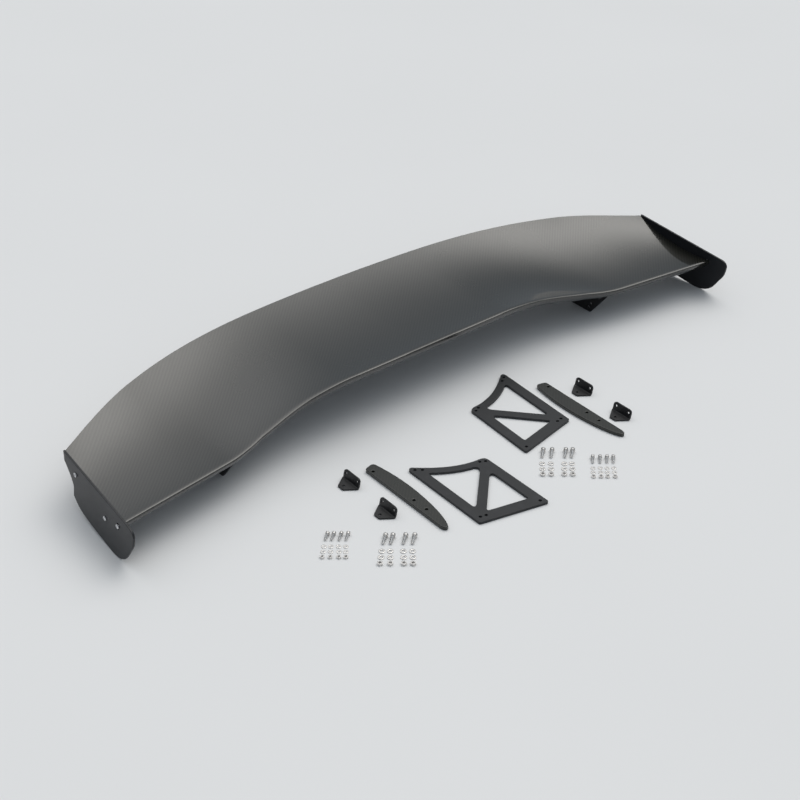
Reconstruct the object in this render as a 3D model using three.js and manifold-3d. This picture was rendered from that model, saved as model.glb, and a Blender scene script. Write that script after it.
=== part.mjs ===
// Racing rear wing, supplied as a kit: the wing stands on its end plates and under-wing brackets,
// and the stays, base plates, angle brackets and fasteners that raise it over a boot lid lie in front of it.
// Millimetres. X runs along the span, +Y from the leading edge to the trailing edge, +Z up, floor at z = 0.
import * as THREE from 'three';
import { mergeVertices } from 'three/addons/utils/BufferGeometryUtils.js';
import Module from 'manifold-3d';

const wasm = await Module();
wasm.setup();

// ---- Driving dimensions -------------------------------------------------------------------------------
const GAP = 0.3; // clearance between touching pieces
const BOND_GAP = 0.8; // glue line between the skins and what is bonded inside them
const HOLE_SIDES = 12;
const CURVE_STEPS = 6;
const SIDES = { left: -1, right: 1 };

const END_PLATE = { x: 800, datumZ: 100, thickness: 4.5, cant: 0.0506, toe: 0.0264 };
const END_PLATE_SCREWS = [{ y: 119, z: 98 }, { y: 5, z: 67 }, { y: -46, z: 80 }];
const SCREW = { shank: 2.5, hole: 2.9, head: 4.75, headHeight: 2.7, length: 15 };
const SLOT_HALF_LENGTH = 4.5; // the foremost end-plate screw sits in an upright slot

const HALF_SPAN = END_PLATE.x - END_PLATE.thickness - GAP;
const NOSE_HEIGHT = 4.5; // how far the nose rounds up above the dish line
const NOSE_LENGTH = 0.03; // share of the chord that the nose takes
const EDGE_HALF = 2; // half the trailing edge's thickness
const SPLIT_HALF = GAP / 2; // half the joint line between the two skins
const SKIN = 2;
const SPAN_STEPS = 28;
const CHORD_STEPS = 12;
const RIB_THICKNESS = 12;

const BRACKET = { x: 516, fin: 4, flange: 3, halfWidth: 18, cornerRadius: 5 };
const FRONT_BRACKET = { toe: 55, heel: 119, topStart: 4, topEnd: 137, holeY: 56 };
const REAR_BRACKET = { toe: 195, heel: 240, topStart: 172, topEnd: 262, holeY: 205 };
const FLANGE_SETBACK = 14; // the flange starts behind the fin's front corner
const STAY_HOLE = 3.3; // M6 clearance
const ANGLE_HOLE = 2.75; // M5 clearance

const STAY_THICKNESS = 6;
const STAYS = {
  left: { x: -220, y: -382, turn: 0, mirror: 1 },
  right: { x: 156.5, y: -241, turn: -2.9, mirror: -1 },
};
const BASE_PLATE = { thickness: 8, bevel: 1.6 };
const BASE_PLATES = { left: { x: -288, y: -356, mirror: 1 }, right: { x: 214, y: -352, mirror: -1 } };
const ANGLE = { thickness: 4, halfLength: 25, height: 22, reach: 29, tipHalf: 8, lean: 12 };
const ANGLES = {
  left_rear: { x: -331, y: -125 },
  left_front: { x: -331, y: -241 },
  right_rear: { x: 264, y: -175 },
  right_front: { x: 260, y: -293 },
};

const M5 = { shank: 2.5, head: 4.25, headHeight: 5, length: 16, nutFlats: 8, nutHeight: 4, nutHole: 2.1 };
const M6 = { shank: 3, head: 5, headHeight: 6, length: 20, nutFlats: 10, nutHeight: 5, nutHole: 2.5 };
const ROW = [0.78, -0.626]; // the rows of fasteners run this way
// Each list: first place x and y, then how far along the row each one lies.
const HARDWARE = {
  m5_left: {
    size: M5,
    shank: [-0.795, -0.607],
    bolts: [-466, -226, [0, 12, 26, 39]],
    nuts: [-511, -271, [0, 15, 31, 44]],
  },
  m6_left: {
    size: M6,
    shank: [-0.78, -0.626],
    bolts: [-385, -300, [0, 14, 38, 55]],
    nuts: [-439, -353, [0, 19, 44, 61]],
  },
  m6_right: {
    size: M6,
    shank: [-0.77, -0.638],
    bolts: [36, -287, [0, 18, 46, 60]],
    nuts: [-17, -342, [0, 17, 43, 60]],
  },
  m5_right: {
    size: M5,
    shank: [-0.71, -0.704],
    bolts: [99, -366, [0, 15, 29, 42]],
    nuts: [57, -411, [0, 15, 28, 43]],
  },
};

// ---- Materials ----------------------------------------------------------------------------------------
const finish = (color, roughness, metalness) =>
  new THREE.MeshStandardMaterial({ color, roughness, metalness });
const CARBON = () => finish(0x1d1e1e, 0.25, 0.0);
const BONDED = () => finish(0x2a2b2c, 0.6, 0.0);
const SATIN_BLACK = () => finish(0x3a3b3d, 0.5, 0.2);
const BLACK = () => finish(0x161718, 0.55, 0.2);
const STAINLESS = () => finish(0xb9bbbd, 0.3, 1.0);

// ---- Solids -------------------------------------------------------------------------------------------
// Welds a geometry's shared corners, drops its collapsed triangles and turns its faces outwards.
function weld(geometry) {
  const bare = geometry.clone();
  bare.deleteAttribute('normal');
  bare.deleteAttribute('uv');
  const welded = mergeVertices(bare, 1e-4);
  const corners = welded.index.array;
  const kept = [];
  for (let i = 0; i < corners.length; i += 3) {
    const [a, b, c] = [corners[i], corners[i + 1], corners[i + 2]];
    if (a !== b && b !== c && c !== a) kept.push(a, b, c);
  }
  welded.setIndex(signedVolume(welded, kept) < 0 ? kept.reverse() : kept);
  return welded;
}

function signedVolume(geometry, corners) {
  const [a, b, c] = [new THREE.Vector3(), new THREE.Vector3(), new THREE.Vector3()];
  let volume = 0;
  for (let i = 0; i < corners.length; i += 3) {
    a.fromBufferAttribute(geometry.attributes.position, corners[i]);
    b.fromBufferAttribute(geometry.attributes.position, corners[i + 1]);
    c.fromBufferAttribute(geometry.attributes.position, corners[i + 2]);
    volume += a.dot(b.cross(c)) / 6;
  }
  return volume;
}

function toSolid(geometry) {
  const welded = weld(geometry);
  return new wasm.Manifold(new wasm.Mesh({
    numProp: 3,
    vertProperties: Float32Array.from(welded.attributes.position.array),
    triVerts: Uint32Array.from(welded.index.array),
  }));
}

function fromSolid(solid) {
  const { vertProperties, triVerts } = solid.getMesh();
  const geometry = new THREE.BufferGeometry();
  geometry.setAttribute('position', new THREE.BufferAttribute(vertProperties, 3));
  geometry.setIndex(new THREE.BufferAttribute(triVerts, 1));
  return geometry;
}

function cut(geometry, tools) {
  const solid = tools.reduce((rest, tool) => rest.subtract(toSolid(tool)), toSolid(geometry));
  return fromSolid(solid);
}

function piece(name, geometry, material) {
  const closed = weld(geometry);
  closed.computeVertexNormals();
  const mesh = new THREE.Mesh(closed, material);
  mesh.name = name;
  return mesh;
}

// A solid through a row of sections, each an upper and a lower line of the same number of points.
function loft(sections) {
  const rings = sections.map(({ upper, lower }) => [...upper, ...lower.slice().reverse()]);
  const count = rings[0].length;
  const points = rings.flat().flatMap((p) => [p.x, p.y, p.z]);
  const faces = [];
  for (let s = 0; s + 1 < rings.length; s += 1) {
    for (let k = 0; k < count; k += 1) {
      const [a, b] = [s * count + k, s * count + ((k + 1) % count)];
      faces.push(a, b, b + count, a, b + count, a + count);
    }
  }
  const cap = (base, flip) => {
    for (let k = 0; k + 1 < count / 2; k += 1) {
      const [a, b, c, d] = [base + k, base + k + 1, base + count - 2 - k, base + count - 1 - k];
      faces.push(...(flip ? [a, b, c, a, c, d] : [a, c, b, a, d, c]));
    }
  };
  cap(0, false);
  cap((rings.length - 1) * count, true);
  const geometry = new THREE.BufferGeometry();
  geometry.setAttribute('position', new THREE.Float32BufferAttribute(points, 3));
  geometry.setIndex(faces);
  return geometry;
}

// Turns a shape drawn as (along Y, up Z) and extruded by depth into a plate that is thick along X.
const UPRIGHT = new THREE.Matrix4().set(0, 0, 1, 0, 1, 0, 0, 0, 0, 1, 0, 0, 0, 0, 0, 1);
const extrude = (shape, depth) => new THREE.ExtrudeGeometry(shape, {
  depth,
  bevelEnabled: false,
  curveSegments: CURVE_STEPS,
});

function rod(radius, length, sides = HOLE_SIDES) {
  return new THREE.CylinderGeometry(radius, radius, length, sides);
}

// A closed shape through corners given as [x, y, radius].
function roundedShape(corners) {
  const shape = new THREE.Shape();
  const points = corners.map(([x, y]) => new THREE.Vector2(x, y));
  corners.forEach(([, , radius], i) => {
    const here = points[i];
    const before = points[(i + points.length - 1) % points.length];
    const after = points[(i + 1) % points.length];
    const back = before.clone().sub(here).normalize();
    const on = after.clone().sub(here).normalize();
    const reach = radius / Math.tan(Math.acos(back.dot(on)) / 2);
    const start = here.clone().addScaledVector(back, reach);
    const end = here.clone().addScaledVector(on, reach);
    if (i === 0) shape.moveTo(start.x, start.y);
    else shape.lineTo(start.x, start.y);
    shape.quadraticCurveTo(here.x, here.y, end.x, end.y);
  });
  shape.closePath();
  return shape;
}

// ---- The blade ----------------------------------------------------------------------------------------
const smoothstep = (low, high, value) => THREE.MathUtils.smoothstep(value, low, high);

// The nose sweeps forward and drops outboard of the middle, and the trailing edge curves forward to the tips.
function chordLine(fromCentre) {
  const outboard = THREE.MathUtils.clamp((fromCentre - 450) / 350, 0, 1);
  const nose = new THREE.Vector2(
    25 - 30 * smoothstep(310, 540, fromCentre) - 50 * outboard,
    84 + 39.5 * (1 - smoothstep(210, 545, fromCentre)),
  );
  const tail = new THREE.Vector2(
    378 - 213 * (fromCentre / 800) ** 2.5,
    127 + 9 * smoothstep(100, 550, fromCentre) - 15 * smoothstep(600, 820, fromCentre),
  );
  return { nose, tail };
}

const thicknessCurve = (t) => 10 * (0.2969 * Math.sqrt(t) - 0.126 * t - 0.3516 * t ** 2 + 0.2843 * t ** 3
  - 0.1015 * t ** 4);

function plateInnerFace(y, z) {
  return HALF_SPAN - END_PLATE.cant * (z - END_PLATE.datumZ) - END_PLATE.toe * y;
}

// A point of the blade: span from -1 to 1, t from nose to trailing edge, offset above the dish line.
function bladePoint(span, t, offset) {
  const fromCentre = Math.abs(span) * HALF_SPAN;
  const { nose, tail } = chordLine(fromCentre);
  const chord = tail.clone().sub(nose);
  const dish = chord.length() * (0.06 + 0.012 * (fromCentre / 800)) * 4 * t * (1 - t);
  const up = new THREE.Vector2(-chord.y, chord.x).normalize();
  const at = nose.clone().addScaledVector(chord, t).addScaledVector(up, offset - dish);
  return new THREE.Vector3(span * plateInnerFace(at.x, at.y), at.x, at.y);
}

const thicknessAt = (span, t) => (35 - 3 * Math.abs(span)) * thicknessCurve(t);
const upperOffset = (t) => {
  const ahead = 1 - Math.min(t / NOSE_LENGTH, 1);
  const round = Math.sqrt(1 - ahead * ahead);
  return 0.6 + (NOSE_HEIGHT - 0.6) * round - (NOSE_HEIGHT - EDGE_HALF) * t;
};
const lowerOffset = (span, t) => -(0.6 + (EDGE_HALF - 0.6) * t + thicknessAt(span, t));
const upperInner = (t) => Math.max(SPLIT_HALF, upperOffset(t) - SKIN);
const lowerInner = (span, t) => Math.min(-SPLIT_HALF, lowerOffset(span, t) + SKIN);

const fractions = (steps, power = 1) => Array.from({ length: steps + 1 }, (_, k) => (k / steps) ** power);
const SPAN_STATIONS = fractions(SPAN_STEPS).map((f) => 2 * f - 1);
const CHORD_STATIONS = fractions(CHORD_STEPS, 1.7);

function skin(upperLine, lowerLine) {
  return loft(SPAN_STATIONS.map((span) => ({
    upper: CHORD_STATIONS.map((t) => bladePoint(span, t, upperLine(span, t))),
    lower: CHORD_STATIONS.map((t) => bladePoint(span, t, lowerLine(span, t))),
  })));
}

// A solid inside the blade, between two span stations and two chord shares, clear of both skins.
function filling(spans, ts) {
  return loft(spans.map((span) => ({
    upper: ts.map((t) => bladePoint(span, t, upperInner(t) - BOND_GAP)),
    lower: ts.map((t) => bladePoint(span, t, lowerInner(span, t) + BOND_GAP)),
  })));
}

const FRONT_SPAR = [0.31, 0.32];
const REAR_SPAR = [0.7, 0.71];
const SPAR_END = 1 - (RIB_THICKNESS + 1) / HALF_SPAN;
const SPAR_STATIONS = [-SPAR_END, ...SPAN_STATIONS.slice(1, -1), SPAR_END];
const spar = (ts) => filling(SPAR_STATIONS, ts);

// The middle of the blade's underside at a place, found by halving.
function underside(x, y) {
  let [low, high] = [0, 1];
  const span = x / HALF_SPAN;
  for (let round = 0; round < 30; round += 1) {
    const middle = (low + high) / 2;
    if (bladePoint(span, middle, lowerOffset(span, middle)).y < y) low = middle;
    else high = middle;
  }
  return bladePoint(span, low, lowerOffset(span, low)).z;
}

// ---- End plates and their screws ------------------------------------------------------------------------
function endPlateShape() {
  const shape = new THREE.Shape();
  shape.moveTo(167, 126);
  shape.lineTo(-88, 103);
  shape.quadraticCurveTo(-103, 101, -104, 88);
  shape.splineThru([[-98, 64], [-85, 44], [-65, 17], [-40, 3], [-14, 0]].map((p) => new THREE.Vector2(...p)));
  shape.splineThru([[28, 5], [76, 11], [114, 21], [138, 39]].map((p) => new THREE.Vector2(...p)));
  shape.lineTo(134, 62);
  shape.quadraticCurveTo(137, 79, 166, 104);
  shape.closePath();
  const slot = END_PLATE_SCREWS[2];
  END_PLATE_SCREWS.forEach(({ y, z }) => {
    const hole = new THREE.Path();
    const half = y === slot.y ? SLOT_HALF_LENGTH : 0;
    hole.absarc(y, z + half, SCREW.hole, 0, Math.PI, false);
    hole.absarc(y, z - half, SCREW.hole, Math.PI, 2 * Math.PI, false);
    hole.closePath();
    shape.holes.push(hole);
  });
  return shape;
}

// Leans a plate drawn upright at x = 0 to its canted and toed place on one side.
function onPlatePlane(side) {
  const { x, datumZ, thickness, cant, toe } = END_PLATE;
  const innerX = side * (x - (side > 0 ? thickness : 0) + cant * datumZ);
  return new THREE.Matrix4().set(1, -side * toe, -side * cant, innerX, 0, 1, 0, 0, 0, 0, 1, 0, 0, 0, 0, 1);
}

function endPlate(side) {
  const plate = extrude(endPlateShape(), END_PLATE.thickness);
  return plate.applyMatrix4(UPRIGHT).applyMatrix4(onPlatePlane(side));
}

function screwPlace(side, { y, z }) {
  const out = new THREE.Vector3(side, END_PLATE.toe, END_PLATE.cant).normalize();
  const x = side * (END_PLATE.x - END_PLATE.cant * (z - END_PLATE.datumZ) - END_PLATE.toe * y);
  const turn = new THREE.Quaternion().setFromUnitVectors(new THREE.Vector3(0, 1, 0), out);
  return new THREE.Matrix4().compose(new THREE.Vector3(x, y, z), turn, new THREE.Vector3(1, 1, 1));
}

// A revolved bolt: head from 0 up its axis, shank down from 0.
function bolt({ shank, head, headHeight, length }) {
  const profile = [
    [0, -length],
    [shank, -length],
    [shank, 0],
    [head, 0],
    [head, headHeight],
    [0, headHeight],
  ];
  return new THREE.LatheGeometry(profile.map((p) => new THREE.Vector2(...p)), HOLE_SIDES);
}

function tipRib(side) {
  const rim = (HALF_SPAN - RIB_THICKNESS) / HALF_SPAN;
  const rib = filling([side * rim, side * (1 - GAP / HALF_SPAN)], CHORD_STATIONS.slice(1, -1));
  const bores = END_PLATE_SCREWS.map((place) => rod(SCREW.hole, 60).applyMatrix4(screwPlace(side, place)));
  return cut(rib, bores);
}

function addEndPlates(wing) {
  Object.entries(SIDES).forEach(([name, side]) => {
    wing.add(piece(`tip_rib_${name}`, tipRib(side), BONDED()));
    wing.add(piece(`end_plate_${name}`, endPlate(side), CARBON()));
    END_PLATE_SCREWS.forEach((place, i) => {
      const screw = bolt(SCREW).translate(0, GAP, 0).applyMatrix4(screwPlace(side, place));
      wing.add(piece(`end_plate_screw_${name}_${i + 1}`, screw, STAINLESS()));
    });
  });
}

// ---- Under-wing brackets --------------------------------------------------------------------------------
function bracketFlange(side, { topStart, topEnd }) {
  const start = topStart + FLANGE_SETBACK;
  const edges = [-BRACKET.halfWidth, BRACKET.halfWidth];
  return loft(fractions(8).map((f) => {
    const y = THREE.MathUtils.lerp(start, topEnd, f);
    const line = (drop) => edges.map((edge) => {
      const x = side * BRACKET.x + edge;
      return new THREE.Vector3(x, y, underside(x, y) - drop);
    });
    return { upper: line(BOND_GAP), lower: line(BOND_GAP + BRACKET.flange) };
  }));
}

function bracketFin(side, { toe, heel, topStart, topEnd, holeY }) {
  const x = side * BRACKET.x;
  const tops = fractions(6).map((f) => {
    const y = THREE.MathUtils.lerp(topEnd - 4, topStart + 4, f);
    return [y, underside(x, y) - BOND_GAP - BRACKET.flange / 2, 0];
  });
  const shape = roundedShape([[toe, 0, BRACKET.cornerRadius], [heel, 0, BRACKET.cornerRadius], ...tops]);
  [[holeY, 23], [holeY + 6, 11.5]].forEach(([y, z]) => {
    shape.holes.push(new THREE.Path().absarc(y, z, STAY_HOLE, 0, 2 * Math.PI, false));
  });
  return extrude(shape, BRACKET.fin).applyMatrix4(UPRIGHT).translate(x - BRACKET.fin / 2, 0, 0);
}

function addBrackets(wing) {
  Object.entries(SIDES).forEach(([name, side]) => {
    const share = (x) => (side * x) / HALF_SPAN;
    const block = filling([share(BRACKET.x - 14), share(BRACKET.x + 14)], [0.1, 0.16, 0.22, 0.28]);
    wing.add(piece(`bracket_block_${name}`, block, BONDED()));
    Object.entries({ front: FRONT_BRACKET, rear: REAR_BRACKET }).forEach(([place, sizes]) => {
      const joined = toSolid(bracketFlange(side, sizes)).add(toSolid(bracketFin(side, sizes)));
      wing.add(piece(`under_bracket_${place}_${name}`, fromSolid(joined), BLACK()));
    });
  });
}

// ---- Stays ------------------------------------------------------------------------------------------
// The wing-side edge follows the blade's underside in a hollow curve. Both cut-outs leave a diagonal strut.
function stayShape() {
  const shape = new THREE.Shape();
  shape.moveTo(5, -1);
  shape.lineTo(143, -34);
  shape.quadraticCurveTo(149, -35, 149, -29);
  shape.lineTo(148, 141);
  shape.quadraticCurveTo(148, 152, 134, 154);
  shape.quadraticCurveTo(74, 158, 10, 217.5);
  shape.quadraticCurveTo(1, 221, 0, 210);
  shape.lineTo(0, 4);
  shape.quadraticCurveTo(0, 0, 5, -1);
  const rearWindow = new THREE.Path();
  rearWindow.moveTo(23, 50);
  rearWindow.lineTo(23, 176);
  rearWindow.quadraticCurveTo(23, 183, 29, 180);
  rearWindow.quadraticCurveTo(66, 151, 108, 141);
  rearWindow.quadraticCurveTo(119, 136, 110, 124);
  rearWindow.lineTo(33, 47);
  rearWindow.quadraticCurveTo(23, 39, 23, 50);
  const frontWindow = roundedShape([[125.5, 112, 9], [125.5, -3, 4], [34, 19, 5]]);
  shape.holes.push(rearWindow, frontWindow);
  [[9.5, 207], [21.5, 198], [129, 146.5], [140, 141], [137, -22], [13, 13], [25, 10]].forEach(([x, y]) => {
    shape.holes.push(new THREE.Path().absarc(x, y, STAY_HOLE, 0, 2 * Math.PI, false));
  });
  return shape;
}

function addStays(kit) {
  Object.entries(STAYS).forEach(([name, { x, y, turn, mirror }]) => {
    const plate = extrude(stayShape(), STAY_THICKNESS).scale(mirror, 1, 1);
    plate.rotateZ(THREE.MathUtils.degToRad(turn)).translate(x, y, 0);
    kit.add(piece(`stay_${name}`, plate, SATIN_BLACK()));
  });
}

// ---- Base plates ------------------------------------------------------------------------------------
// Boat-shaped in plan: one straight side, one bowed side, a blunt rear end and a pointed front end.
function basePlateShape() {
  const shape = new THREE.Shape();
  shape.moveTo(2, 12);
  shape.lineTo(0, 240);
  shape.quadraticCurveTo(1, 245, 6, 246);
  shape.lineTo(18, 249);
  shape.quadraticCurveTo(24, 249, 26, 243);
  shape.quadraticCurveTo(45, 150, 28, 49);
  shape.quadraticCurveTo(22, 16, 13, 2);
  shape.quadraticCurveTo(4, -2, 2, 12);
  [[8, 228], [13, 105], [14, 68]].forEach(([x, y]) => {
    shape.holes.push(new THREE.Path().absarc(x, y, ANGLE_HOLE, 0, 2 * Math.PI, false));
  });
  return shape;
}

function addBasePlates(kit) {
  const { thickness, bevel } = BASE_PLATE;
  Object.entries(BASE_PLATES).forEach(([name, { x, y, mirror }]) => {
    const plate = new THREE.ExtrudeGeometry(basePlateShape(), {
      depth: thickness - 2 * bevel,
      bevelThickness: bevel,
      bevelSize: bevel,
      bevelOffset: -bevel,
      bevelSegments: 1,
      curveSegments: CURVE_STEPS,
    });
    plate.scale(mirror, 1, 1).translate(x, y, bevel);
    kit.add(piece(`base_plate_${name}`, plate, CARBON()));
  });
}

// ---- Angle brackets ---------------------------------------------------------------------------------
// A foot tapering to its tip, with one hole, and a leaning upright with two.
function angleBracket() {
  const { thickness, halfLength, height, reach, tipHalf, lean } = ANGLE;
  const footShape = roundedShape([[0, -halfLength, 2], [0, halfLength, 2], [-reach, tipHalf, 5],
    [-reach, -tipHalf, 5]]);
  footShape.holes.push(new THREE.Path().absarc(-20, 0, ANGLE_HOLE, 0, 2 * Math.PI, false));
  const foot = extrude(footShape, thickness);
  const uprightShape = roundedShape([[-halfLength, 0, 1], [halfLength, 0, 1], [halfLength, height, 8],
    [-halfLength, height, 8]]);
  [-17.5, 17.5].forEach((y) => {
    uprightShape.holes.push(new THREE.Path().absarc(y, height - 8.5, ANGLE_HOLE, 0, 2 * Math.PI, false));
  });
  const upright = extrude(uprightShape, thickness).applyMatrix4(UPRIGHT).translate(-thickness, 0, 0);
  upright.rotateY(THREE.MathUtils.degToRad(lean));
  const lift = -new THREE.Box3().setFromBufferAttribute(upright.attributes.position).min.z;
  return fromSolid(toSolid(foot).add(toSolid(upright.translate(0, 0, lift))));
}

function addAngleBrackets(kit) {
  Object.entries(ANGLES).forEach(([name, { x, y }]) => {
    kit.add(piece(`angle_bracket_${name}`, angleBracket().translate(x, y, 0), BLACK()));
  });
}

// ---- Fasteners --------------------------------------------------------------------------------------
// A bolt lies on the rim of its head and the tip of its shank, so its axis slopes down to the tip.
function lyingBolt(size, [x, y], direction) {
  const droop = Math.asin((size.head - size.shank) / size.length);
  const level = Math.cos(droop);
  const shank = new THREE.Vector3(direction[0] * level, direction[1] * level, -Math.sin(droop));
  const turn = new THREE.Quaternion().setFromUnitVectors(new THREE.Vector3(0, -1, 0), shank.normalize());
  const lying = bolt(size).applyQuaternion(turn);
  lying.translate(x, y, -new THREE.Box3().setFromBufferAttribute(lying.attributes.position).min.z);
  return lying;
}

function nut({ nutFlats, nutHeight, nutHole }, [x, y]) {
  const corner = nutFlats / Math.sqrt(3);
  const shape = new THREE.Shape(fractions(5).map((f) => {
    const angle = f * (5 / 6) * 2 * Math.PI;
    return new THREE.Vector2(corner * Math.cos(angle), corner * Math.sin(angle));
  }));
  shape.holes.push(new THREE.Path().absarc(0, 0, nutHole, 0, 2 * Math.PI, false));
  return extrude(shape, nutHeight).translate(x, y, 0);
}

function addHardware(kit) {
  Object.entries(HARDWARE).forEach(([name, { size, shank, bolts, nuts }]) => {
    const places = ([x, y, offsets]) => offsets.map((d) => [x + d * ROW[0], y + d * ROW[1]]);
    places(bolts).forEach((place, i) => {
      kit.add(piece(`bolt_${name}_${i + 1}`, lyingBolt(size, place, shank), STAINLESS()));
    });
    places(nuts).forEach((place, i) => {
      kit.add(piece(`nut_${name}_${i + 1}`, nut(size, place), STAINLESS()));
    });
  });
}

// ---- The kit ----------------------------------------------------------------------------------------
const kit = new THREE.Group();
const wing = new THREE.Group();
wing.add(piece('upper_skin', skin((span, t) => upperOffset(t), (span, t) => upperInner(t)), CARBON()));
wing.add(piece('lower_skin', skin(lowerInner, lowerOffset), CARBON()));
wing.add(piece('front_spar', spar(FRONT_SPAR), BONDED()));
wing.add(piece('rear_spar', spar(REAR_SPAR), BONDED()));
addEndPlates(wing);
addBrackets(wing);
kit.add(wing);
addStays(kit);
addBasePlates(kit);
addAngleBrackets(kit);
addHardware(kit);

// The origin is under the middle of the whole kit.
const bounds = new THREE.Box3().setFromObject(kit);
kit.position.y = -(bounds.min.y + bounds.max.y) / 2;

export default kit;
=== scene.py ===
"""Looks of the racing rear wing kit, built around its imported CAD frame. Sizes are in millimetres, as in
the CAD, and every mesh is scaled to metres and moved to the frame's place when it is finished."""
import math

import bmesh
import bpy
from mathutils import Matrix, Vector


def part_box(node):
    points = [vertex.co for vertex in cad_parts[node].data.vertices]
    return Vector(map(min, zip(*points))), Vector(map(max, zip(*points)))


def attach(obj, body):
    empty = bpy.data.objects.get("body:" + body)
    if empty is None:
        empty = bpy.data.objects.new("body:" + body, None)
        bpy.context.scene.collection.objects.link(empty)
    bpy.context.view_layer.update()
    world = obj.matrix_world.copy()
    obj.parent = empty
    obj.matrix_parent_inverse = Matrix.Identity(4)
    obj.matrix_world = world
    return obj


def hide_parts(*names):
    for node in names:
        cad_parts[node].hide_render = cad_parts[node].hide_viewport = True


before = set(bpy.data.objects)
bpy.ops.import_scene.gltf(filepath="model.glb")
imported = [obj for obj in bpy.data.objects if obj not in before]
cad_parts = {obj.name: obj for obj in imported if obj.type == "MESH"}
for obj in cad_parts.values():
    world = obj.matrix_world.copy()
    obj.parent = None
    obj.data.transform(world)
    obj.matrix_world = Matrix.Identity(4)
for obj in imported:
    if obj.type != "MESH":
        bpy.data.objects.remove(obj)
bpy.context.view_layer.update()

MM = 0.001

# ---- The blade's shape, as in the CAD ------------------------------------------------------------
END_PLATE = {"x": 800.0, "datum_z": 100.0, "thickness": 4.5, "cant": 0.0506, "toe": 0.0264}
GAP = 0.3
HALF_SPAN = END_PLATE["x"] - END_PLATE["thickness"] - GAP
NOSE_HEIGHT = 4.5
NOSE_LENGTH = 0.03
EDGE_HALF = 2.0
SPLIT_HALF = GAP / 2
SKIN = 2.0


def smoothstep(low, high, value):
    t = min(max((value - low) / (high - low), 0.0), 1.0)
    return t * t * (3 - 2 * t)


def chord_line(from_centre):
    outboard = min(max((from_centre - 450) / 350, 0.0), 1.0)
    nose = Vector((
        25 - 30 * smoothstep(310, 540, from_centre) - 50 * outboard,
        84 + 39.5 * (1 - smoothstep(210, 545, from_centre)),
    ))
    tail = Vector((
        378 - 213 * (from_centre / 800) ** 2.5,
        127 + 9 * smoothstep(100, 550, from_centre) - 15 * smoothstep(600, 820, from_centre),
    ))
    return nose, tail


def thickness_curve(t):
    return 10 * (0.2969 * math.sqrt(t) - 0.126 * t - 0.3516 * t**2 + 0.2843 * t**3 - 0.1015 * t**4)


def plate_inner_face(y, z):
    return HALF_SPAN - END_PLATE["cant"] * (z - END_PLATE["datum_z"]) - END_PLATE["toe"] * y


def blade_point(span, t, offset):
    """A point of the blade: span from -1 to 1, t from nose to trailing edge, offset above the dish line."""
    from_centre = abs(span) * HALF_SPAN
    nose, tail = chord_line(from_centre)
    chord = tail - nose
    dish = chord.length * (0.06 + 0.012 * from_centre / 800) * 4 * t * (1 - t)
    up = Vector((-chord.y, chord.x)).normalized()
    at = nose + chord * t + up * (offset - dish)
    return Vector((span * plate_inner_face(at.x, at.y), at.x, at.y))


def upper_offset(span, t):
    ahead = 1 - min(t / NOSE_LENGTH, 1)
    return 0.6 + (NOSE_HEIGHT - 0.6) * math.sqrt(1 - ahead * ahead) - (NOSE_HEIGHT - EDGE_HALF) * t


def lower_offset(span, t):
    return -(0.6 + (EDGE_HALF - 0.6) * t + (35 - 3 * abs(span)) * thickness_curve(t))


def upper_inner(span, t):
    return max(SPLIT_HALF, upper_offset(span, t) - SKIN)


def lower_inner(span, t):
    return min(-SPLIT_HALF, lower_offset(span, t) + SKIN)


def underside(x, y):
    """The height of the blade's underside at a place, found by halving."""
    low, high = 0.0, 1.0
    span = x / HALF_SPAN
    for _ in range(30):
        middle = (low + high) / 2
        if blade_point(span, middle, lower_offset(span, middle)).y < y:
            low = middle
        else:
            high = middle
    return blade_point(span, low, lower_offset(span, low)).z


KIT_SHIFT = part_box("lower_skin")[1].y / MM - blade_point(0, 1, lower_offset(0, 1)).y
TO_FRAME = Matrix.Scale(MM, 4) @ Matrix.Translation((0, KIT_SHIFT, 0))

# ---- Camera --------------------------------------------------------------------------------------
CAMERA_PLACE = (-1.6709, -1.945, 1.7208)
CAMERA_PITCH = 56.03
CAMERA_YAW = -38.78
CAMERA_LENS = 64.31


def add_camera():
    data = bpy.data.cameras.new("camera")
    data.lens = CAMERA_LENS
    data.sensor_width = 36
    camera = bpy.data.objects.new("camera", data)
    camera.location = Vector(CAMERA_PLACE) + Vector((0, KIT_SHIFT * MM, 0))
    camera.rotation_euler = (math.radians(CAMERA_PITCH), 0, math.radians(CAMERA_YAW))
    bpy.context.scene.collection.objects.link(camera)
    bpy.context.scene.camera = camera


add_camera()


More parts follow.
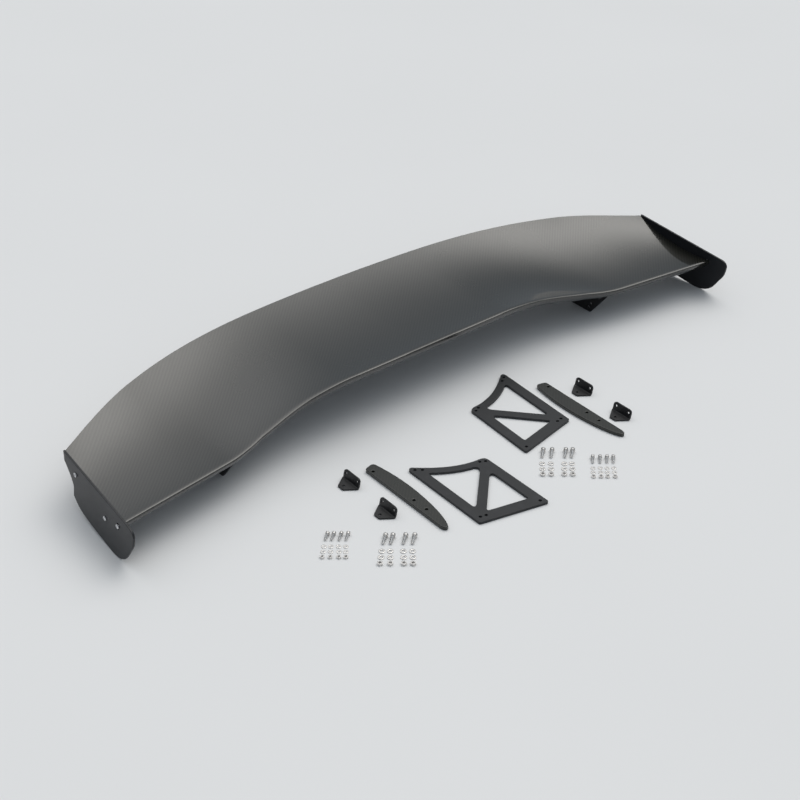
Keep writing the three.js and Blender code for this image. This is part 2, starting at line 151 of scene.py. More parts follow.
# ---- Material helpers ----------------------------------------------------------------------------
class Nodes:
    """A material's node tree, with short calls for the nodes that the finishes here use."""

    def __init__(self, name):
        self.material = bpy.data.materials.new(name)
        self.material.use_nodes = True
        self.tree = self.material.node_tree
        self.shader = self.tree.nodes["Principled BSDF"]
        self.place = self.tree.nodes.new("ShaderNodeTexCoord").outputs["Object"]

    def set(self, **values):
        for socket, value in values.items():
            self.shader.inputs[socket.replace("_", " ")].default_value = value

    def link(self, output, target):
        self.tree.links.new(output, target)

    def math(self, operation, a, b=None):
        node = self.tree.nodes.new("ShaderNodeMath")
        node.operation = operation
        for socket, value in zip(node.inputs, (a, b)):
            if value is None:
                continue
            if isinstance(value, (int, float)):
                socket.default_value = value
            else:
                self.link(value, socket)
        return node.outputs[0]

    def noise(self, scale, detail=3.0, stretch=(1, 1, 1)):
        mapping = self.tree.nodes.new("ShaderNodeMapping")
        mapping.inputs["Scale"].default_value = stretch
        self.link(self.place, mapping.inputs["Vector"])
        node = self.tree.nodes.new("ShaderNodeTexNoise")
        node.inputs["Scale"].default_value = scale
        node.inputs["Detail"].default_value = detail
        self.link(mapping.outputs[0], node.inputs["Vector"])
        return node.outputs["Fac"]

    def ramp(self, factor, low, high, start=0.0, end=1.0):
        """A value that goes from low to high as factor goes from start to end."""
        node = self.tree.nodes.new("ShaderNodeMapRange")
        self.link(factor, node.inputs["Value"])
        for socket, value in (("From Min", start), ("From Max", end), ("To Min", low), ("To Max", high)):
            node.inputs[socket].default_value = value
        return node.outputs["Result"]

    def blend(self, factor, first, second):
        node = self.tree.nodes.new("ShaderNodeMix")
        node.data_type = "RGBA"
        self.link(factor, node.inputs["Factor"])
        for socket, colour in ((6, first), (7, second)):
            if isinstance(colour, tuple):
                node.inputs[socket].default_value = (*colour, 1)
            else:
                self.link(colour, node.inputs[socket])
        return node.outputs[2]

    def bump(self, height, distance, strength=1.0, coat=False):
        node = self.tree.nodes.new("ShaderNodeBump")
        node.inputs["Strength"].default_value = strength
        node.inputs["Distance"].default_value = distance
        self.link(height, node.inputs["Height"])
        self.link(node.outputs["Normal"], self.shader.inputs["Coat Normal" if coat else "Normal"])

    def base(self, output):
        self.link(output, self.shader.inputs["Base Color"])

    def roughness(self, output):
        self.link(output, self.shader.inputs["Roughness"])


TOW = 2.2 * MM  # width of one yarn bundle
TOW_ROUNDNESS = 3.4
TOW_RELIEF = 0.05 * MM


def twill(nodes, plane):
    """Two-by-two twill across a plane, such as "XY". Returns which yarn is on top, and its height."""
    split = nodes.tree.nodes.new("ShaderNodeSeparateXYZ")
    nodes.link(nodes.place, split.inputs[0])
    u, v = (nodes.math("DIVIDE", split.outputs[axis], TOW) for axis in plane)
    step = nodes.math("SUBTRACT", nodes.math("FLOOR", u), nodes.math("FLOOR", v))
    warp_on_top = nodes.math("LESS_THAN", nodes.math("FLOORED_MODULO", step, 4.0), 1.5)
    crowns = []
    for across in (u, v):
        centred = nodes.math("SUBTRACT", nodes.math("FRACT", across), 0.5)
        fall = nodes.math("MULTIPLY", nodes.math("POWER", centred, 2.0), TOW_ROUNDNESS)
        crowns.append(nodes.math("SUBTRACT", 1.0, fall))
    warp_height = nodes.math("MULTIPLY", warp_on_top, crowns[0])
    weft_height = nodes.math("MULTIPLY", nodes.math("SUBTRACT", 1.0, warp_on_top), crowns[1])
    return warp_on_top, nodes.math("ADD", warp_height, weft_height)


def carbon(name, plane, warp_with_painted_sheen, weft_in_painted_shade, roughness, smudge, specular, coat, coat_roughness):
    """Woven carbon fibre: twill relief under a resin or lacquer surface, with painted sheen on the warp
    yarns, painted shade on the weft yarns and painted shade in the hollows between yarns.
    """
    nodes = Nodes(name)
    on_top, height = twill(nodes, plane)
    # Painted sheen and shade: the yarns on top one way get the paler colour, the others the darker.
    painted_weave_light = nodes.blend(on_top, weft_in_painted_shade, warp_with_painted_sheen)
    # Painted shade: the colour darkens by up to about half towards near black down the sides of each yarn,
    # into the hollows between yarns.
    painted_weave_light = nodes.blend(nodes.ramp(height, 0.55, 0.0, 0.2, 0.9), painted_weave_light, (0.002, 0.002, 0.002))
    nodes.base(painted_weave_light)
    nodes.roughness(nodes.ramp(nodes.noise(6, 4), roughness - smudge, roughness + smudge, 0.3, 0.7))
    nodes.set(Coat_Weight=coat, Coat_Roughness=coat_roughness, Specular_IOR_Level=specular)
    nodes.bump(height, TOW_RELIEF, 0.5)
    return nodes.material


def painted(name, colour, worn, roughness, grain, grain_height):
    """A coated metal: fine grain, cloudy roughness and slightly paler rubbed patches."""
    nodes = Nodes(name)
    rubbed = nodes.ramp(nodes.noise(45, 6), 0.0, 1.0, 0.56, 0.74)
    nodes.base(nodes.blend(rubbed, colour, worn))
    nodes.roughness(nodes.ramp(nodes.noise(18, 3), roughness - 0.06, roughness + 0.08, 0.3, 0.7))
    nodes.bump(nodes.noise(grain, 2), grain_height * MM, 0.5)
    nodes.set(Specular_IOR_Level=0.38)
    return nodes.material


def steel(name, colour, roughness):
    nodes = Nodes(name)
    nodes.base(nodes.blend(nodes.ramp(nodes.noise(300, 3), 0.0, 1.0, 0.35, 0.7), colour,
                           tuple(0.8 * c for c in colour)))
    nodes.roughness(nodes.ramp(nodes.noise(700, 3), roughness - 0.08, roughness + 0.1, 0.3, 0.7))
    nodes.set(Metallic=1.0, Anisotropic=0.3)
    nodes.bump(nodes.noise(1500, 2), 0.01 * MM, 0.4)
    return nodes.material


# In each carbon, warp and weft are one black yarn: the paler warp colour is painted sheen and the darker weft
# colour is painted shade.
CARBONS = {
    "carbon_gloss": {
        "plane": "XY",
        "warp_with_painted_sheen": (0.015, 0.015, 0.011),
        "weft_in_painted_shade": (0.003, 0.003, 0.002),
        "roughness": 0.3,
        "smudge": 0.05,
        "specular": 0.3,
        "coat": 1.0,
        "coat_roughness": 0.05,
    },
    "carbon_satin": {
        "plane": "YZ",
        "warp_with_painted_sheen": (0.013, 0.014, 0.017),
        "weft_in_painted_shade": (0.008, 0.009, 0.011),
        "roughness": 0.42,
        "smudge": 0.05,
        "specular": 0.36,
        "coat": 0.05,
        "coat_roughness": 0.3,
    },
    "carbon_plate": {
        "plane": "XY",
        "warp_with_painted_sheen": (0.012, 0.013, 0.009),
        "weft_in_painted_shade": (0.006, 0.007, 0.005),
        "roughness": 0.3,
        "smudge": 0.06,
        "specular": 0.2,
        "coat": 0.65,
        "coat_roughness": 0.1,
    },
}
# Colour, colour where rubbed, roughness, number of grains to a metre, and their height.
PAINTS = {
    "bonded_core": ((0.05, 0.05, 0.052), (0.09, 0.09, 0.09), 0.6, 900, 0.05),
    "stay_black": ((0.015, 0.016, 0.018), (0.022, 0.023, 0.026), 0.46, 1600, 0.02),
    "bracket_black": ((0.008, 0.008, 0.009), (0.02, 0.02, 0.021), 0.42, 1300, 0.04),
}
STEELS = {
    "stainless": ((0.72, 0.70, 0.68), 0.3),
    "screw_steel": ((0.78, 0.78, 0.79), 0.38),
}
MATERIALS = {name: carbon(name, **look) for name, look in CARBONS.items()}
MATERIALS |= {name: painted(name, *look) for name, look in PAINTS.items()}
MATERIALS |= {name: steel(name, *look) for name, look in STEELS.items()}


# ---- Mesh helpers --------------------------------------------------------------------------------
# Angles past which an edge is shaded sharp. The plates' keeps flat faces flat beside their rounded edges.
PLATE_SHARP = 12
BOLT_SHARP = 28
SKIN_SHARP = 35
WASHER_SHARP = 50


def finish_piece(mesh, name, slot, body, node=None, sharp=PLATE_SHARP):
    """Makes a mesh in millimetres a shaded piece in the frame, with a slot, a body and a node to replace."""
    mesh.transform(TO_FRAME)
    work = bmesh.new()
    work.from_mesh(mesh)
    bmesh.ops.remove_doubles(work, verts=work.verts, dist=2e-6)
    bmesh.ops.dissolve_degenerate(work, edges=work.edges, dist=1e-6)
    bmesh.ops.recalc_face_normals(work, faces=work.faces)
    work.to_mesh(mesh)
    work.free()
    mesh.materials.clear()
    mesh.materials.append(MATERIALS[slot])
    mesh.shade_smooth()
    mesh.set_sharp_from_angle(angle=math.radians(sharp))
    piece = bpy.data.objects.new(name, mesh)
    bpy.context.scene.collection.objects.link(piece)
    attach(piece, body)
    if node:
        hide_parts(node)
    return piece


class Outline:
    """A closed outline made of straight lines, quadratic curves and smooth runs through points."""

    def __init__(self, x, y):
        self.points = [Vector((x, y))]

    def line(self, x, y):
        self.points.append(Vector((x, y)))
        return self

    def quad(self, cx, cy, x, y, steps=10):
        start, control, end = self.points[-1], Vector((cx, cy)), Vector((x, y))
        for k in range(1, steps + 1):
            t = k / steps
            self.points.append(start * (1 - t) ** 2 + control * 2 * t * (1 - t) + end * t * t)
        return self

    def through(self, *places, steps=8):
        stops = [self.points[-1], *(Vector(p) for p in places)]
        for k in range(len(stops) - 1):
            a, b = stops[max(k - 1, 0)], stops[k]
            c, d = stops[k + 1], stops[min(k + 2, len(stops) - 1)]
            for s in range(1, steps + 1):
                t = s / steps
                self.points.append(0.5 * (2 * b + (c - a) * t + (2 * a - 5 * b + 4 * c - d) * t**2
                                          + (3 * b - a - 3 * c + d) * t**3))
        return self

    def loop(self):
        """The outline's points, without the ones that repeat the point before."""
        return [p for k, p in enumerate(self.points) if (p - self.points[k - 1]).length > 1e-4]


def circle(x, y, radius, steps=28):
    return [Vector((x + radius * math.cos(a), y + radius * math.sin(a)))
            for a in (2 * math.pi * k / steps for k in range(steps))]


def rounded(*corners, steps=6):
    """An outline through corners given as (x, y, radius)."""
    loop = []
    for i, (x, y, radius) in enumerate(corners):
        here = Vector((x, y))
        back = (Vector(corners[i - 1][:2]) - here).normalized()
        on = (Vector(corners[(i + 1) % len(corners)][:2]) - here).normalized()
        if radius == 0:
            loop.append(here)
            continue
        reach = radius / math.tan(math.acos(back.dot(on)) / 2)
        for k in range(steps + 1):
            t = k / steps
            start, end = here + back * reach, here + on * reach
            loop.append(start * (1 - t) ** 2 + here * 2 * t * (1 - t) + end * t * t)
    return loop


def plate_mesh(loops, thickness, bevel):
    """A flat plate in XY from z = 0 up, with rounded edges. The loops are its outline and its holes."""
    curve = bpy.data.curves.new("outline", "CURVE")
    curve.dimensions = "2D"
    curve.fill_mode = "BOTH"
    curve.extrude = thickness / 2 - bevel
    curve.bevel_depth = bevel
    curve.bevel_resolution = 2
    curve.offset = -bevel
    for loop in loops:
        spline = curve.splines.new("POLY")
        spline.points.add(len(loop) - 1)
        for point, place in zip(spline.points, loop):
            point.co = (place.x, place.y, 0, 1)
        spline.use_cyclic_u = True
    holder = bpy.data.objects.new("outline", curve)
    bpy.context.scene.collection.objects.link(holder)
    view = bpy.context.evaluated_depsgraph_get()
    mesh = bpy.data.meshes.new_from_object(holder.evaluated_get(view))
    bpy.data.objects.remove(holder)
    bpy.data.curves.remove(curve)
    mesh.transform(Matrix.Translation((0, 0, thickness / 2)))
    return mesh


def grid_mesh(rows, name, closed_rows=False, closed_columns=False, caps=False):
    """A mesh over rows of points. A closed direction joins up with itself, and caps fill the end rows."""
    height, width = len(rows), len(rows[0])
    faces = []
    for r in range(height if closed_rows else height - 1):
        for c in range(width if closed_columns else width - 1):
            s, e = (r + 1) % height, (c + 1) % width
            faces.append((r * width + c, r * width + e, s * width + e, s * width + c))
    if caps:
        faces.append(tuple(range(width - 1, -1, -1)))
        faces.append(tuple((height - 1) * width + c for c in range(width)))
    mesh = bpy.data.meshes.new(name)
    mesh.from_pydata([tuple(p) for row in rows for p in row], [], faces)
    return mesh


def joined(name, *meshes):
    work = bmesh.new()
    for mesh in meshes:
        work.from_mesh(mesh)
        bpy.data.meshes.remove(mesh)
    whole = bpy.data.meshes.new(name)
    work.to_mesh(whole)
    work.free()
    return whole


# Turns a plate drawn as (along Y, up Z) upright, so that it is thick along X.
UPRIGHT = Matrix(((0, 0, 1, 0), (1, 0, 0, 0), (0, 1, 0, 0), (0, 0, 0, 1)))
SIDES = {"left": -1, "right": 1}


# ---- Blade ---------------------------------------------------------------------------------------
SKIN_ROWS = 180  # faces from tip to tip
SKIN_COLUMNS = 44  # faces from nose to trailing edge
NOSE_CROWDING = 1.8  # above 1, the columns are closer together at the nose


def skin_piece(name, outer, inner, node):
    """A closed skin between its outer and inner surfaces, capped at both tips."""
    spans = [2 * k / SKIN_ROWS - 1 for k in range(SKIN_ROWS + 1)]
    chords = [(k / SKIN_COLUMNS) ** NOSE_CROWDING for k in range(SKIN_COLUMNS + 1)]
    rows = []
    for span in spans:
        ring = [blade_point(span, t, outer(span, t)) for t in chords]
        ring += [blade_point(span, t, inner(span, t)) for t in reversed(chords)]
        rows.append(ring)
    mesh = grid_mesh(rows, name, closed_columns=True)
    work = bmesh.new()
    work.from_mesh(mesh)
    work.verts.ensure_lookup_table()
    width = len(rows[0])
    for base in (0, (len(rows) - 1) * width):
        for k in range(len(chords) - 1):
            ends = (k, k + 1, width - 2 - k, width - 1 - k)
            work.faces.new([work.verts[base + e] for e in ends])
    work.to_mesh(mesh)
    work.free()
    finish_piece(mesh, name, "carbon_gloss", "wing", node, sharp=SKIN_SHARP)


def add_blade():
    skin_piece("blade_upper_skin", upper_offset, upper_inner, "upper_skin")
    skin_piece("blade_lower_skin", lower_offset, lower_inner, "lower_skin")
    hidden = ["front_spar", "rear_spar"]
    hidden += [f"{kind}_{side}" for kind in ("tip_rib", "bracket_block") for side in SIDES]
    for node in hidden:
        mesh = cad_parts[node].data
        mesh.materials.clear()
        mesh.materials.append(MATERIALS["bonded_core"])


# ---- End plates ----------------------------------------------------------------------------------
END_PLATE_SCREWS = [(119, 98), (5, 67), (-46, 80)]
SCREW = {"shank": 2.5, "hole": 2.9, "head": 4.75, "head_height": 2.7, "length": 15}
SLOT_HALF_LENGTH = 4.5


def end_plate_loops():
    outline = Outline(167, 126).line(-88, 103).quad(-103, 101, -104, 88)
    outline.through((-98, 64), (-85, 44), (-65, 17), (-40, 3), (-14, 0))
    outline.through((28, 5), (76, 11), (114, 21), (138, 39))
    outline.line(134, 62).quad(137, 79, 166, 104)
    loops = [outline.loop()]
    for y, z in END_PLATE_SCREWS:
        half = SLOT_HALF_LENGTH if (y, z) == END_PLATE_SCREWS[2] else 0
        hole = circle(y, z + 0.001, SCREW["hole"])
        loops.append([p + Vector((0, half if p.y > z else -half)) for p in hole])
    return loops


def on_plate_plane(side):
    inner_x = side * (END_PLATE["x"] - (END_PLATE["thickness"] if side > 0 else 0)
                      + END_PLATE["cant"] * END_PLATE["datum_z"])
    return Matrix(((1, -side * END_PLATE["toe"], -side * END_PLATE["cant"], inner_x),
                   (0, 1, 0, 0), (0, 0, 1, 0), (0, 0, 0, 1)))


def screw_place(side, y, z):
    out = Vector((side, END_PLATE["toe"], END_PLATE["cant"])).normalized()
    x = side * (END_PLATE["x"] - END_PLATE["cant"] * (z - END_PLATE["datum_z"]) - END_PLATE["toe"] * y)
    turn = Vector((0, 0, 1)).rotation_difference(out).to_matrix().to_4x4()
    return Matrix.Translation((x, y, z)) @ turn @ Matrix.Translation((0, 0, GAP))


def add_end_plates():
    for name, side in SIDES.items():
        mesh = plate_mesh(end_plate_loops(), END_PLATE["thickness"], 0.8)
        mesh.transform(on_plate_plane(side) @ UPRIGHT)
        finish_piece(mesh, f"plate_{name}", "carbon_satin", "wing", f"end_plate_{name}")
        for i, (y, z) in enumerate(END_PLATE_SCREWS, 1):
            screw = button_screw()
            screw.transform(screw_place(side, y, z))
            node = f"end_plate_screw_{name}_{i}"
            finish_piece(screw, f"plate_screw_{name}_{i}", "screw_steel", "wing", node, sharp=BOLT_SHARP)


# ---- Bolts, screws, nuts and washers -------------------------------------------------------------
ROUND = 32


def ring(radius, z, steps=ROUND, shape=None):
    """A ring of points. shape changes the radius with the angle."""
    points = []
    for k in range(steps):
        angle = 2 * math.pi * k / steps
        reach = radius * (shape(angle) if shape else 1)
        points.append((reach * math.cos(angle), reach * math.sin(angle), z))
    return points


def hexagon(angle):
    """The radius at an angle of a hexagon whose flats are at a distance of 1, two of them across Y."""
    return 1 / math.cos(angle % (math.pi / 3) - math.pi / 6)


def thread_rings(radius, pitch, start, end, steps=ROUND, per_pitch=6):
    """Rings down a threaded shank: the surface rises and falls along a helix."""
    depth = 0.54 * pitch
    count = int((start - end) / pitch * per_pitch)
    rows = []
    for k in range(count + 1):
        z = start + (end - start) * k / count
        fade = min(1.0, (start - z) / (1.5 * pitch), (z - end) / pitch + 0.25)
        row = []
        for s in range(steps):
            angle = 2 * math.pi * s / steps
            phase = (z / pitch + s / steps) % 1
            r = radius - depth * max(fade, 0) * abs(2 * phase - 1)
            row.append((r * math.cos(angle), r * math.sin(angle), z))
        rows.append(row)
    return rows


def bolt_mesh(size, length, socket_depth, dome):
    """A hexagon-socket bolt: head from z = 0 up, threaded shank below."""
    head, top, socket = size["head"], size["head_height"], 0.5 * size["head"]
    rows = [
        ring(0.02, top - socket_depth, shape=hexagon),
        ring(socket, top - socket_depth, shape=hexagon),
        ring(socket, top - 0.3, shape=hexagon),
        ring(socket * 1.22, top),
    ]
    if dome:
        rows += [ring(head * f, top - 1.6 * (f - 0.6) ** 1.7 * top) for f in (0.68, 0.8, 0.9, 0.97, 1.0)]
    else:
        rows += [ring(head - 0.7, top), ring(head - 0.2, top - 0.2), ring(head, top - 0.7)]
    rows += [ring(head, 0.3), ring(head - 0.3, 0.0)]
    rows += [ring(size["shank"] + 0.4, 0.0), ring(size["shank"], -0.4)]
    rows += thread_rings(size["shank"], size["pitch"], -0.5, -length + 0.6)
    rows += [ring(size["shank"] * 0.72, -length), ring(0.02, -length)]
    return grid_mesh(rows, "bolt", closed_columns=True, caps=True)


def button_screw():
    return bolt_mesh({**SCREW, "pitch": 0.8}, SCREW["length"], 1.8, dome=True)


def nut_mesh(size):
    """A hexagon nut with chamfered corners and a countersunk bore."""
    flats, height, bore = size["nut_flats"] / 2, size["nut_height"], size["shank"] * 0.9
    steps = 72
    countersink, chamfer_start = 0.6, 0.97

    def corners(z, sign):
        """The hexagon's outer ring at one face, lower at its corners by a 30 degree chamfer."""
        row = []
        for x, y, _ in ring(flats, 0, steps, hexagon):
            drop = (hexagon(math.atan2(y, x) % (2 * math.pi)) - chamfer_start) * flats
            row.append((x, y, z - sign * drop * math.tan(math.radians(30))))
        return row

    bore_heights = [0.5 + (height - 1) * k / 8 for k in range(9)]
    rows = [ring(bore, z, steps) for z in bore_heights]
    rows += [ring(bore + countersink, height, steps), ring(flats * chamfer_start, height, steps)]
    rows += [corners(height, 1), corners(0, -1)]
    rows += [ring(flats * chamfer_start, 0, steps), ring(bore + countersink, 0, steps)]
    return grid_mesh(rows, "nut", closed_rows=True, closed_columns=True)


def washer_mesh(bore, outside, thickness):
    steps = 40
    soft = 0.15
    profile = [
        (bore, soft),
        (bore, thickness - soft),
        (bore + soft, thickness),
        (outside - soft, thickness),
        (outside, thickness - soft),
        (outside, soft),
        (outside - soft, 0),
        (bore + soft, 0),
    ]
    rows = [ring(radius, z, steps) for radius, z in profile]
    return grid_mesh(rows, "washer", closed_rows=True, closed_columns=True)


# A washer is its bore's radius, its outside radius and its thickness.
M5 = {
    "shank": 2.5,
    "head": 4.25,
    "head_height": 5,
    "length": 16,
    "nut_flats": 8,
    "nut_height": 4,
    "pitch": 0.8,
    "washer": (2.65, 5, 1.0),
}
M6 = {
    "shank": 3,
    "head": 5,
    "head_height": 6,
    "length": 20,
    "nut_flats": 10,
    "nut_height": 5,
    "pitch": 1.0,
    "washer": (3.2, 6, 1.6),
}
ROW = Vector((0.78, -0.626))  # the direction along which each group is laid out
HARDWARE = {
    "m5_left": {"size": M5, "shank": (-0.795, -0.607), "bolts": (-466, -226, (0, 12, 26, 39)),
                "nuts": (-511, -271, (0, 15, 31, 44))},
    "m6_left": {"size": M6, "shank": (-0.78, -0.626), "bolts": (-385, -300, (0, 14, 38, 55)),
                "nuts": (-439, -353, (0, 19, 44, 61))},
    "m6_right": {"size": M6, "shank": (-0.77, -0.638), "bolts": (36, -287, (0, 18, 46, 60)),
                 "nuts": (-17, -342, (0, 17, 43, 60))},
    "m5_right": {"size": M5, "shank": (-0.71, -0.704), "bolts": (99, -366, (0, 15, 29, 42)),
                 "nuts": (57, -411, (0, 15, 28, 43))},
}


def row_places(x, y, offsets):
    return [Vector((x, y)) + ROW * d for d in offsets]


def lying_bolt(size, place, direction):
    droop = math.asin((size["head"] - size["shank"]) / size["length"])
    level = math.cos(droop)
    shank = Vector((direction[0] * level, direction[1] * level, -math.sin(droop))).normalized()
    mesh = bolt_mesh(size, size["length"], 0.5 * size["head_height"], dome=False)
    mesh.transform(Vector((0, 0, -1)).rotation_difference(shank).to_matrix().to_4x4())
    lowest = min(v.co.z for v in mesh.vertices)
    mesh.transform(Matrix.Translation((place.x, place.y, -lowest)))
    return mesh


def add_fasteners():
    """Each bolt, its nut beyond its tip, and its two washers on the line between them."""
    for name, group in HARDWARE.items():
        size, body = group["size"], f"fasteners_{name}"
        bolts, nuts = row_places(*group["bolts"]), row_places(*group["nuts"])
        for i, (bolt, nut) in enumerate(zip(bolts, nuts), 1):
            mesh = lying_bolt(size, bolt, group["shank"])
            node = f"bolt_{name}_{i}"
            finish_piece(mesh, f"socket_bolt_{name}_{i}", "stainless", body, node, sharp=BOLT_SHARP)
            mesh = nut_mesh(size)
            mesh.transform(Matrix.Translation((nut.x, nut.y, 0)))
            node = f"nut_{name}_{i}"
            finish_piece(mesh, f"hex_nut_{name}_{i}", "stainless", body, node, sharp=BOLT_SHARP)
            tip = bolt + Vector(group["shank"]) * size["length"]
            for k, share in enumerate((0.34, 0.66), 1):
                place = tip.lerp(nut, share)
                mesh = washer_mesh(*size["washer"])
                mesh.transform(Matrix.Translation((place.x, place.y, 0)))
                finish_piece(mesh, f"washer_{name}_{i}_{k}", "stainless", body, sharp=WASHER_SHARP)


# ---- Under-wing brackets -------------------------------------------------------------------------
BRACKET = {"x": 516, "fin": 4, "flange": 3, "half_width": 18, "corner": 5, "bond": 0.8, "setback": 14}
STAY_HOLE = 3.3
UNDER_BRACKETS = {
    "front": {"toe": 55, "heel": 119, "start": 4, "end": 137, "hole": 56},
    "rear": {"toe": 195, "heel": 240, "start": 172, "end": 262, "hole": 205},
}


def bracket_flange(side, size):
    rows = []
    steps = 24
    start = size["start"] + BRACKET["setback"]
    for k in range(steps + 1):
        y = start + (size["end"] - start) * k / steps
        tops = []
        for edge in (-1, -0.96, -0.5, 0, 0.5, 0.96, 1):
            x = side * BRACKET["x"] + edge * BRACKET["half_width"]
            tops.append(Vector((x, y, underside(x, y) - BRACKET["bond"])))
        rows.append(tops + [p - Vector((0, 0, BRACKET["flange"])) for p in reversed(tops)])
    return grid_mesh(rows, "flange", closed_columns=True, caps=True)


def bracket_fin(side, size):
    tops = []
    for k in range(13):
        y = size["end"] - 4 + (size["start"] + 8 - size["end"]) * k / 12
        tops.append((y, underside(side * BRACKET["x"], y) - BRACKET["bond"] - BRACKET["flange"] / 2, 0))
    outline = rounded((size["toe"], 0, BRACKET["corner"]), (size["heel"], 0, BRACKET["corner"]), *tops)
    holes = [circle(size["hole"], 23, STAY_HOLE), circle(size["hole"] + 6, 11.5, STAY_HOLE)]
    mesh = plate_mesh([outline, *holes], BRACKET["fin"], 0.5)
    mesh.transform(Matrix.Translation((side * BRACKET["x"] - BRACKET["fin"] / 2, 0, 0)) @ UPRIGHT)
    return mesh


def add_under_brackets():
    for name, side in SIDES.items():
        for place, size in UNDER_BRACKETS.items():
            mesh = joined("bracket", bracket_flange(side, size), bracket_fin(side, size))
            node = f"under_bracket_{place}_{name}"
            finish_piece(mesh, f"wing_bracket_{place}_{name}", "bracket_black", "wing", node)


# ---- Stays ---------------------------------------------------------------------------------------
STAY_THICKNESS = 6
STAYS = {
    "left": {"x": -220, "y": -382, "turn": 0.0, "mirror": 1},
    "right": {"x": 156.5, "y": -241, "turn": -2.9, "mirror": -1},
}
STAY_HOLES = [(9.5, 207), (21.5, 198), (129, 146.5), (140, 141), (137, -22), (13, 13), (25, 10)]


def stay_loops():
    outline = Outline(5, -1).line(143, -34).quad(149, -35, 149, -29).line(148, 141).quad(148, 152, 134, 154)
    outline.quad(74, 158, 10, 217.5, 24).quad(1, 221, 0, 210).line(0, 4).quad(0, 0, 5, -1)
    rear = Outline(23, 50).line(23, 176).quad(23, 183, 29, 180).quad(66, 151, 108, 141, 20)
    rear.quad(119, 136, 110, 124).line(33, 47).quad(23, 39, 23, 50)
    front = rounded((125.5, 112, 9), (125.5, -3, 4), (34, 19, 5))
    return [outline.loop(), rear.loop(), front, *(circle(x, y, STAY_HOLE) for x, y in STAY_HOLES)]


def add_stays():
    for name, stay in STAYS.items():
        mesh = plate_mesh(stay_loops(), STAY_THICKNESS, 0.45)
        turn = Matrix.Rotation(math.radians(stay["turn"]), 4, "Z")
        mirror = Matrix.Diagonal((stay["mirror"], 1, 1, 1))
        mesh.transform(Matrix.Translation((stay["x"], stay["y"], 0)) @ turn @ mirror)
        finish_piece(mesh, f"stay_plate_{name}", "stay_black", f"stay_{name}", f"stay_{name}")


# ---- Base plates ---------------------------------------------------------------------------------
BASE_THICKNESS = 8
ANGLE_HOLE = 2.75
BASE_PLATES = {"left": {"x": -288, "y": -356, "mirror": 1}, "right": {"x": 214, "y": -352, "mirror": -1}}


def base_plate_loops():
    outline = Outline(2, 12).line(0, 240).quad(1, 245, 6, 246).line(18, 249).quad(24, 249, 26, 243)
    outline.quad(45, 150, 28, 49, 24).quad(22, 16, 13, 2).quad(4, -2, 2, 12)
    return [outline.loop(), *(circle(x, y, ANGLE_HOLE) for x, y in ((8, 228), (13, 105), (14, 68)))]


def add_base_plates():
    for name, base in BASE_PLATES.items():
        mesh = plate_mesh(base_plate_loops(), BASE_THICKNESS, 1.6)
        mirror = Matrix.Diagonal((base["mirror"], 1, 1, 1))
        mesh.transform(Matrix.Translation((base["x"], base["y"], 0)) @ mirror)
        finish_piece(mesh, f"boat_plate_{name}", "carbon_plate", f"base_plate_{name}", f"base_plate_{name}")


# ---- Angle brackets ------------------------------------------------------------------------------
ANGLE = {"thickness": 4, "half_length": 25, "height": 22, "reach": 29, "tip_half": 8, "lean": 12}
ANGLES = {
    "left_rear": (-331, -125),
    "left_front": (-331, -241),
    "right_rear": (264, -175),
    "right_front": (260, -293),
}


def angle_mesh():
    """One sheet, cut flat and bent up along Y, with an inside radius of half its thickness."""
    half, tip, reach, height = ANGLE["half_length"], ANGLE["tip_half"], ANGLE["reach"], ANGLE["height"]
    thick, turn = ANGLE["thickness"], math.radians(90 - ANGLE["lean"])
    outside = 1.5 * thick
    middle = outside - thick / 2
    arc = turn * middle
    flat_end = -outside * math.tan(turn / 2)
    top = flat_end + arc + height / math.cos(math.radians(ANGLE["lean"])) - outside * math.tan(turn / 2)
    outline = rounded((flat_end, -half, 1), (top, -half, 8), (top, half, 8), (flat_end, half, 1),
                      (-reach, tip, 5), (-reach, -tip, 5))
    hole_places = ((-20, 0), (top - 8, -17.5), (top - 8, 17.5))
    holes = [circle(x, y, ANGLE_HOLE) for x, y in hole_places]
    mesh = plate_mesh([outline, *holes], thick, 0.6)
    work = bmesh.new()
    work.from_mesh(mesh)
    bmesh.ops.remove_doubles(work, verts=work.verts, dist=1e-3)
    cuts = 8
    for k in range(cuts + 1):
        geometry = work.verts[:] + work.edges[:] + work.faces[:]
        place = (flat_end + arc * k / cuts, 0, 0)
        bmesh.ops.bisect_plane(work, geom=geometry, plane_co=place, plane_no=(1, 0, 0))
    for vert in work.verts:
        along = vert.co.x - flat_end
        if along <= 0:
            continue
        angle = min(along / middle, turn)
        beyond = max(along - arc, 0.0)
        radius = outside - vert.co.z
        vert.co.x = flat_end + radius * math.sin(angle) + beyond * math.cos(angle)
        vert.co.z = outside - radius * math.cos(angle) + beyond * math.sin(angle)
    work.to_mesh(mesh)
    work.free()
    return mesh


def add_angle_brackets():
    for name, (x, y) in ANGLES.items():
        mesh = angle_mesh()
        mesh.transform(Matrix.Translation((x, y, 0)))
        node = f"angle_bracket_{name}"
        finish_piece(mesh, f"angle_{name}", "bracket_black", node, node)


# ---- Floor and light -----------------------------------------------------------------------------
FLOOR_HALF = 9  # metres
FLOOR_DROP = 0.0002  # metres, so that the floor and the pieces' undersides are not in one plane


def add_floor():
    half = FLOOR_HALF
    mesh = bpy.data.meshes.new("floor")
    corners = [(-half, -half, 0), (half, -half, 0), (half, half, 0), (-half, half, 0)]
    mesh.from_pydata(corners, [], [(0, 1, 2, 3)])
    nodes = Nodes("floor")
    nodes.base(nodes.blend(nodes.noise(1.2, 2), (0.665, 0.665, 0.667), (0.69, 0.69, 0.692)))
    nodes.set(Roughness=0.7, Specular_IOR_Level=0.3)
    mesh.materials.append(nodes.material)
    floor = bpy.data.objects.new("floor", mesh)
    floor.location.z = -FLOOR_DROP
    bpy.context.scene.collection.objects.link(floor)


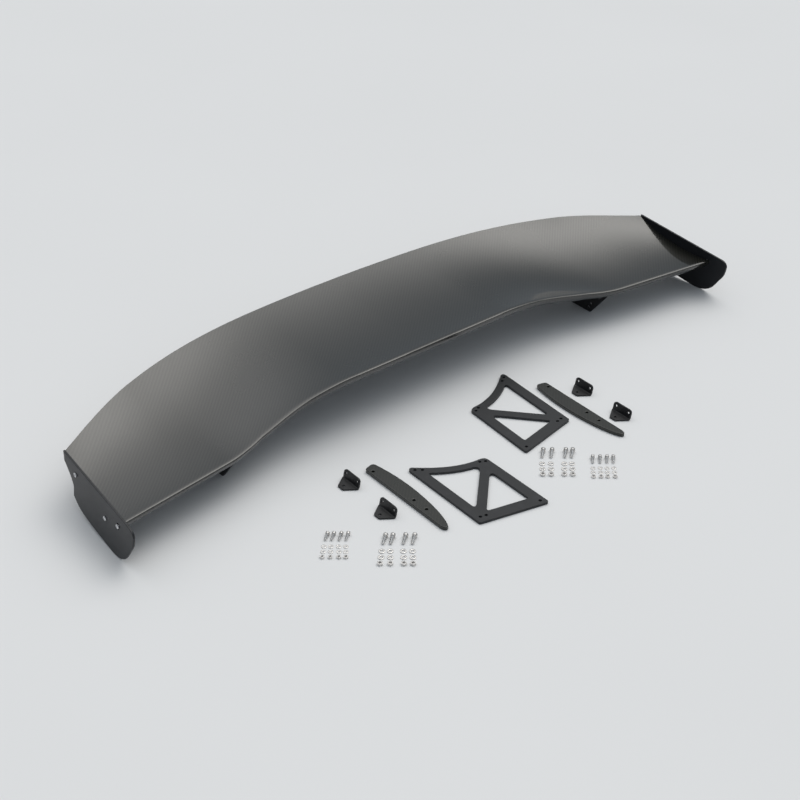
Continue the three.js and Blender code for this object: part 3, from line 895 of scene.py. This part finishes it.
# Each soft source: the way to it from the object, how bright it is, and how narrow its glow is.
ROOM_LEVEL = 0.27
SOFT_BOXES = {
    "side": {"azimuth": 88, "elevation": 62, "level": 3.8, "narrowness": 12, "colour": (1.0, 0.975, 0.93)},
    "back": {"azimuth": 0, "elevation": 52, "level": 1.5, "narrowness": 10, "colour": (1.0, 0.99, 0.98)},
    "fill": {"azimuth": 200, "elevation": 60, "level": 0.55, "narrowness": 4, "colour": (0.86, 0.93, 1.0)},
}


def direction(azimuth, elevation):
    """The unit vector at an azimuth clockwise from +Y and an elevation, in degrees."""
    turn, rise = math.radians(azimuth), math.radians(elevation)
    return Vector((math.cos(rise) * math.sin(turn), math.cos(rise) * math.cos(turn), math.sin(rise)))


def add_light():
    """A dim studio room: a wide soft box high on the right, a weaker one behind, a faint fill in front."""
    world = bpy.data.worlds.new("studio")
    world.use_nodes = True
    bpy.context.scene.world = world
    tree = world.node_tree
    background = tree.nodes["Background"]
    background.inputs["Color"].default_value = (0.80, 0.90, 1.0, 1)
    background.inputs["Strength"].default_value = ROOM_LEVEL
    total = background.outputs[0]
    way = tree.nodes.new("ShaderNodeTexCoord").outputs["Generated"]
    for box in SOFT_BOXES.values():
        toward = tree.nodes.new("ShaderNodeVectorMath")
        toward.operation = "DOT_PRODUCT"
        toward.inputs[1].default_value = direction(box["azimuth"], box["elevation"])
        tree.links.new(way, toward.inputs[0])
        value = toward.outputs["Value"]
        for operation, amount in (("MAXIMUM", 0.0), ("POWER", box["narrowness"]), ("MULTIPLY", box["level"])):
            node = tree.nodes.new("ShaderNodeMath")
            node.operation = operation
            node.inputs[1].default_value = amount
            tree.links.new(value, node.inputs[0])
            value = node.outputs[0]
        glow = tree.nodes.new("ShaderNodeBackground")
        glow.inputs["Color"].default_value = (*box["colour"], 1)
        tree.links.new(value, glow.inputs["Strength"])
        both = tree.nodes.new("ShaderNodeAddShader")
        tree.links.new(total, both.inputs[0])
        tree.links.new(glow.outputs[0], both.inputs[1])
        total = both.outputs[0]
    tree.links.new(total, tree.nodes["World Output"].inputs["Surface"])


add_blade()
add_end_plates()
add_under_brackets()
add_stays()
add_base_plates()
add_angle_brackets()
add_fasteners()
add_floor()
add_light()
bpy.context.scene.view_settings.view_transform = "Standard"
